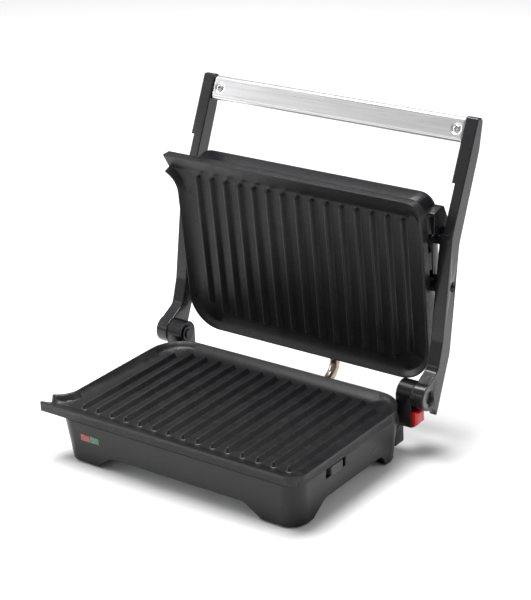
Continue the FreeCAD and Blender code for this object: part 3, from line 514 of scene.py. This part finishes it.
def rib(length, name):
    """One rib: soft crest, sloping flanks, and a small fillet where it meets the floor."""
    rings = [stadium(half * MM, length / 2 + (half - 1.1) * MM, height * MM) for half, height in RIB_SECTION]
    return lofted(rings, name, close_first=False)


def plate_ribs(name, place, body):
    full = rib(RIB_LENGTH, "full_rib")
    short = rib(RIB_LENGTH - END_RIB_CUT, "short_rib")
    middle = (RIB_COUNT - 1) / 2
    step = Vector((RIB_PITCH, 0, 0))
    inner = row("inner_ribs", full, RIB_COUNT - 2, -step * (middle - 1), step, "nonstick_plate")
    outer = row("outer_ribs", short, 2, -step * middle + Vector((0, -END_RIB_CUT / 2, 0)),
                step * (RIB_COUNT - 1), "nonstick_plate")
    bpy.data.objects.remove(full)
    bpy.data.objects.remove(short)
    ribs = placed(joined(name, [inner, outer]), place)
    return dress(ribs, "nonstick_plate", body)


def under_a_rib(point):
    """True where a plate-frame point lies within the foot of one of the ribs."""
    near = round(point.x / RIB_PITCH + (RIB_COUNT - 1) / 2)
    if not 0 <= near < RIB_COUNT:
        return False
    x = (near - (RIB_COUNT - 1) / 2) * RIB_PITCH
    rear = RIB_LENGTH / 2 + RIB_FOOT - (END_RIB_CUT if near in (0, RIB_COUNT - 1) else 0)
    return abs(point.x - x) < RIB_FOOT and -RIB_LENGTH / 2 - RIB_FOOT < point.y < rear


def plate_tray(node, place, body):
    """The cast tray under the ribs: rim, gutter, spout and skirt."""
    bm = merged_copy(node)
    bmesh.ops.transform(bm, matrix=place.inverted(), verts=bm.verts)
    floor = -RIB_HEIGHT
    ribs = [f for f in bm.faces if all(under_a_rib(v.co) for v in f.verts)
            and max(v.co.z for v in f.verts) > floor + 0.1 * MM]
    bmesh.ops.delete(bm, geom=ribs, context="FACES")
    bmesh.ops.holes_fill(bm, edges=[e for e in bm.edges if e.is_boundary], sides=0)
    bmesh.ops.transform(bm, matrix=place, verts=bm.verts)
    bmesh.ops.recalc_face_normals(bm, faces=bm.faces)
    for face in bm.faces:
        face.smooth = True
    tray = piece_from(bm, node + "_tray")
    keep_shading(tray)
    dress(tray, "nonstick_plate", body)
    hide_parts(node)
    return tray


plate_tray("lower_grill_plate", base_place(), "base")
plate_ribs("lower_plate_ribs", base_place(), "base")
plate_tray("upper_grill_plate", lid_place(), "lid")
plate_ribs("upper_plate_ribs", lid_place(), "lid")


# ---------------------------------------------------------------- housings, arms and small parts

for node, slot, body in (("base_housing", "housing_black", "base"), ("upper_housing", "lid_black", "lid"),
                         ("left_arm", "arm_black", "arms"), ("right_arm", "arm_black", "arms"),
                         ("left_hinge_bracket", "housing_black", "base"),
                         ("right_hinge_bracket", "housing_black", "base"),
                         ("lower_plate_latch", "latch_black", "lower_latch"),
                         ("upper_plate_latch", "latch_black", "upper_latch"),
                         ("red_lens", "lens_red", "base"), ("green_lens", "lens_green", "base")):
    smoothed(node, slot, body)
refined("release_button", "button_red", "button", 0.5 * MM)
refined("rubber_feet", "foot_rubber", "base", 0.4 * MM)
refined("cord_inlet_bush", "heat_ring_black", "base", 0.5 * MM)
refined("conduit_bush", "heat_ring_black", "base", 0.5 * MM)


# ---------------------------------------------------------------- handle

HANDLE_HEIGHT = 21 * MM
HANDLE_THICK = 9.5 * MM
HANDLE_CORNER = 3.4 * MM
HANDLE_END = 123.9 * MM
HANDLE_SCREW_X = 117 * MM
HANDLE_LEAN = math.atan2(160.0 - 119.6, 262.6 - 177.2)
DIMPLE_RADIUS = 5.2 * MM
DIMPLE_DEPTH = 1.1 * MM
END_ROUND = 1.6 * MM


def handle_place():
    """Handle frame: X along the bar, Y through it, Z up its face."""
    low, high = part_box("handle_bar")
    middle = (low + high) / 2
    return Matrix.Translation(middle) @ Matrix.Rotation(-HANDLE_LEAN, 4, "X")


def bar_section(shrink):
    """Rounded oblong round the bar, from the middle of its back, finely divided on its face."""
    half_y, half_z = HANDLE_THICK / 2 - shrink, HANDLE_HEIGHT / 2 - shrink
    radius = max(HANDLE_CORNER - shrink, 0.4 * MM)
    ring = []
    for sign_y, sign_z, first in ((1, 1, 0), (-1, 1, 90), (-1, -1, 180), (1, -1, 270)):
        for i in range(9):
            angle = math.radians(first + 90 * i / 8)
            ring.append((sign_y * (half_y - radius) + radius * math.cos(angle),
                         sign_z * (half_z - radius) + radius * math.sin(angle)))
        if (sign_y, sign_z) == (-1, 1):
            span = 2 * (half_z - radius)
            ring += [(-half_y, half_z - radius - span * i / 26) for i in range(1, 26)]
    return ring


def dimple(x, z):
    """How far the bar's face is pressed in round a screw."""
    away = math.hypot(abs(x) - HANDLE_SCREW_X, z)
    if away >= DIMPLE_RADIUS:
        return 0.0
    t = 1 - away / DIMPLE_RADIUS
    return DIMPLE_DEPTH * min(1.0, 1.9 * t) ** 2 * (3 - 2 * min(1.0, 1.9 * t))


def handle_bar():
    stations = [HANDLE_SCREW_X - DIMPLE_RADIUS + 2 * DIMPLE_RADIUS * i / 26 for i in range(27)]
    stations += [HANDLE_END - END_ROUND * (1 - math.sin(math.pi / 2 * i / 5)) for i in range(6)]
    stations = sorted([-x for x in stations] + [-90 * MM, -45 * MM, 0, 45 * MM, 90 * MM] + stations)
    rings = []
    for x in stations:
        into_end = max(0.0, abs(x) - (HANDLE_END - END_ROUND)) / END_ROUND
        shrink = END_ROUND * (1 - math.sqrt(max(0.0, 1 - into_end ** 2)))
        ring = []
        for y, z in bar_section(shrink):
            pressed = dimple(x, z) if y < -HANDLE_THICK / 2 + 0.3 * MM + shrink else 0
            ring.append(Vector((x, y + pressed, z)))
        rings.append(ring)
    bar = lofted(rings, "handle_bar_shell")
    placed(bar, handle_place())
    keep_shading(bar)
    dress(bar, "handle_stainless", "arms")
    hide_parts("handle_bar", "handle_core")
    return bar


handle_bar()


def cross_screw(name, radius, height):
    """Pan-head screw, face towards -Y, with a cross recess, about its seat."""
    bm = bmesh.new()
    around, profile = 32, [(1.0, 0.0), (1.0, 0.35), (0.93, 0.66), (0.78, 0.88), (0.55, 1.0), (0.36, 1.0)]
    rows = []
    for share, rise in profile:
        rows.append([bm.verts.new((share * radius * math.cos(2 * math.pi * i / around), -rise * height,
                                   share * radius * math.sin(2 * math.pi * i / around)))
                     for i in range(around)])
    for outer, inner in zip(rows, rows[1:]):
        for i in range(around):
            k = (i + 1) % around
            bm.faces.new((outer[i], outer[k], inner[k], inner[i]))
    bm.faces.new(list(reversed(rows[0])))
    arm, slot_half, floor = radius * 0.6, radius * 0.13, -height * 0.35
    corners = []
    for quarter in range(4):
        turn = Matrix.Rotation(math.pi / 2 * quarter, 3, "Y")
        for x, z in ((arm, -slot_half), (arm, slot_half), (slot_half, slot_half)):
            corners.append(turn @ Vector((x, 0, -z)))
    top = [bm.verts.new((c.x, -height, c.z)) for c in corners]
    low = [bm.verts.new((c.x * 0.7, floor, c.z * 0.7)) for c in corners]
    for i in range(12):
        k = (i + 1) % 12
        bm.faces.new((top[i], top[k], low[k], low[i]))
    bm.faces.new(low)
    ring_edges = [bm.edges.get((rows[-1][i], rows[-1][(i + 1) % around])) for i in range(around)]
    slot_edges = [bm.edges.get((top[i], top[(i + 1) % 12])) for i in range(12)]
    bmesh.ops.triangle_fill(bm, edges=ring_edges + slot_edges, use_beauty=True, normal=(0, -1, 0))
    bmesh.ops.recalc_face_normals(bm, faces=bm.faces)
    for face in bm.faces:
        face.smooth = True
    made = piece_from(bm, name)
    made.data.set_sharp_from_angle(angle=math.radians(35))
    return made


def handle_screws():
    screw = cross_screw("screw", 3.3 * MM, 1.3 * MM)
    seat = -HANDLE_THICK / 2 + DIMPLE_DEPTH + 0.05 * MM
    pair = row("handle_screw_heads", screw, 2, Vector((-HANDLE_SCREW_X, seat, 0)),
               Vector((2 * HANDLE_SCREW_X, 0, 0)), "screw_steel")
    bpy.data.objects.remove(screw)
    placed(pair, handle_place())
    dress(pair, "screw_steel", "arms")
    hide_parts("handle_screws")
    return pair


handle_screws()


# ---------------------------------------------------------------- supply conduit

CONDUIT_X = 20 * MM
CONDUIT_RADIUS = 4.3 * MM
CONDUIT_BEND = 17 * MM
CONDUIT_Z = 29 * MM
CONDUIT_BACK = PLATE_CENTRE_Y + 120.6 * MM
CONDUIT_START = PLATE_CENTRE_Y + 72 * MM
CONDUIT_TOP = 58 * MM


def conduit_path():
    """Centre line: straight out of the base, one bend, and straight up into the lid."""
    path = [Vector((CONDUIT_X, CONDUIT_START + (CONDUIT_BACK - CONDUIT_BEND - CONDUIT_START) * i / 12,
                    CONDUIT_Z)) for i in range(12)]
    centre = Vector((CONDUIT_X, CONDUIT_BACK - CONDUIT_BEND, CONDUIT_Z + CONDUIT_BEND))
    for i in range(17):
        angle = math.pi / 2 * i / 16
        path.append(centre + Vector((0, math.sin(angle), -math.cos(angle))) * CONDUIT_BEND)
    top = CONDUIT_Z + CONDUIT_BEND
    path += [Vector((CONDUIT_X, CONDUIT_BACK, top + (CONDUIT_TOP - top) * i / 6)) for i in range(1, 7)]
    return path


def conduit_run(name, path):
    """One stretch of the conduit, a tube along part of its path."""
    rings = []
    for i, point in enumerate(path):
        along = (path[min(i + 1, len(path) - 1)] - path[max(i - 1, 0)]).normalized()
        side = Vector((1, 0, 0))
        up = along.cross(side)
        rings.append([point + (side * math.cos(2 * math.pi * k / 24) + up * math.sin(2 * math.pi * k / 24))
                      * CONDUIT_RADIUS for k in range(24)])
    run = lofted(rings, name)
    run.data.materials.append(FINISHES["conduit_metal"])
    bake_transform(run)
    return run


def conduit():
    path = conduit_path()
    lower = conduit_run("conduit_lower", path[:13])
    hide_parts("supply_conduit")
    conduit_run("conduit_bend", path[12:29])
    conduit_run("conduit_upper", path[28:])


conduit()


# ---------------------------------------------------------------- what stays as the frame has it

for entry in frame["record"]["subparts"]:
    node = frame["nodes"][entry["node"]]
    node.data.materials.clear()
    node.data.materials.append(FINISHES[entry["material_slot"]])


# ---------------------------------------------------------------- floor, lights and camera


CAMERA_LENS = 114.17
FLOOR_HALF = 7
WORLD_LIGHT = 0.3
LIGHTS_AIM = (0, 0, 0.12)
LIGHTS = (("top light", (-0.3, 0.1, 1.9), (1.3, 1.0), 58),
          ("left light", (-1.9, -0.7, 1.0), (0.7, 1.2), 16),
          ("front light", (-1.15, -1.5, 0.78), (1.2, 0.35), 2.2),
          ("right light", (1.6, 0.5, 0.9), (0.8, 1.4), 7))


def floor():
    bm = bmesh.new()
    bmesh.ops.create_grid(bm, x_segments=2, y_segments=2, size=FLOOR_HALF)
    plane = piece_from(bm, "floor")
    finish = Finish("pale floor", (0.86, 0.86, 0.86), 0.7)
    tone = finish.noise(3, 3)
    finish.feed("Base Color", finish.blend(tone, (0.85, 0.85, 0.85), (0.87, 0.87, 0.87)))
    plane.data.materials.append(finish.material)


def softbox(name, place, size, power):
    """Soft rectangular light that looks at the press."""
    light = bpy.data.lights.new(name, "AREA")
    light.shape = "RECTANGLE"
    light.size, light.size_y = size
    light.energy = power
    lamp = bpy.data.objects.new(name, light)
    lamp.location = place
    lamp.rotation_euler = (Vector(LIGHTS_AIM) - Vector(place)).to_track_quat("-Z", "Y").to_euler()
    bpy.context.scene.collection.objects.link(lamp)


def surroundings():
    world = bpy.data.worlds.new("studio")
    world.use_nodes = True
    background = world.node_tree.nodes["Background"]
    background.inputs["Color"].default_value = (1, 1, 1, 1)
    background.inputs["Strength"].default_value = WORLD_LIGHT
    bpy.context.scene.world = world
    for name, place, size, power in LIGHTS:
        softbox(name, place, size, power)
    bpy.context.scene.view_settings.view_transform = "Standard"


def camera():
    """Looks down on the press from its right front."""
    place = Vector((0.85137, PLATE_CENTRE_Y - 1.07859, 0.67071 + RIB_TOP))
    right = Vector((0.80863, 0.58692, -0.04049))
    up = Vector((-0.19903, 0.33773, 0.92001))
    ahead = Vector((-0.5536, 0.7359, -0.3899))
    data = bpy.data.cameras.new("camera")
    data.lens = CAMERA_LENS
    data.clip_start = 0.05
    eye = bpy.data.objects.new("camera", data)
    turn = Matrix((right, up, -ahead)).transposed()
    eye.matrix_world = Matrix.Translation(place) @ turn.to_4x4()
    bpy.context.scene.collection.objects.link(eye)
    bpy.context.scene.camera = eye


floor()
surroundings()
camera()
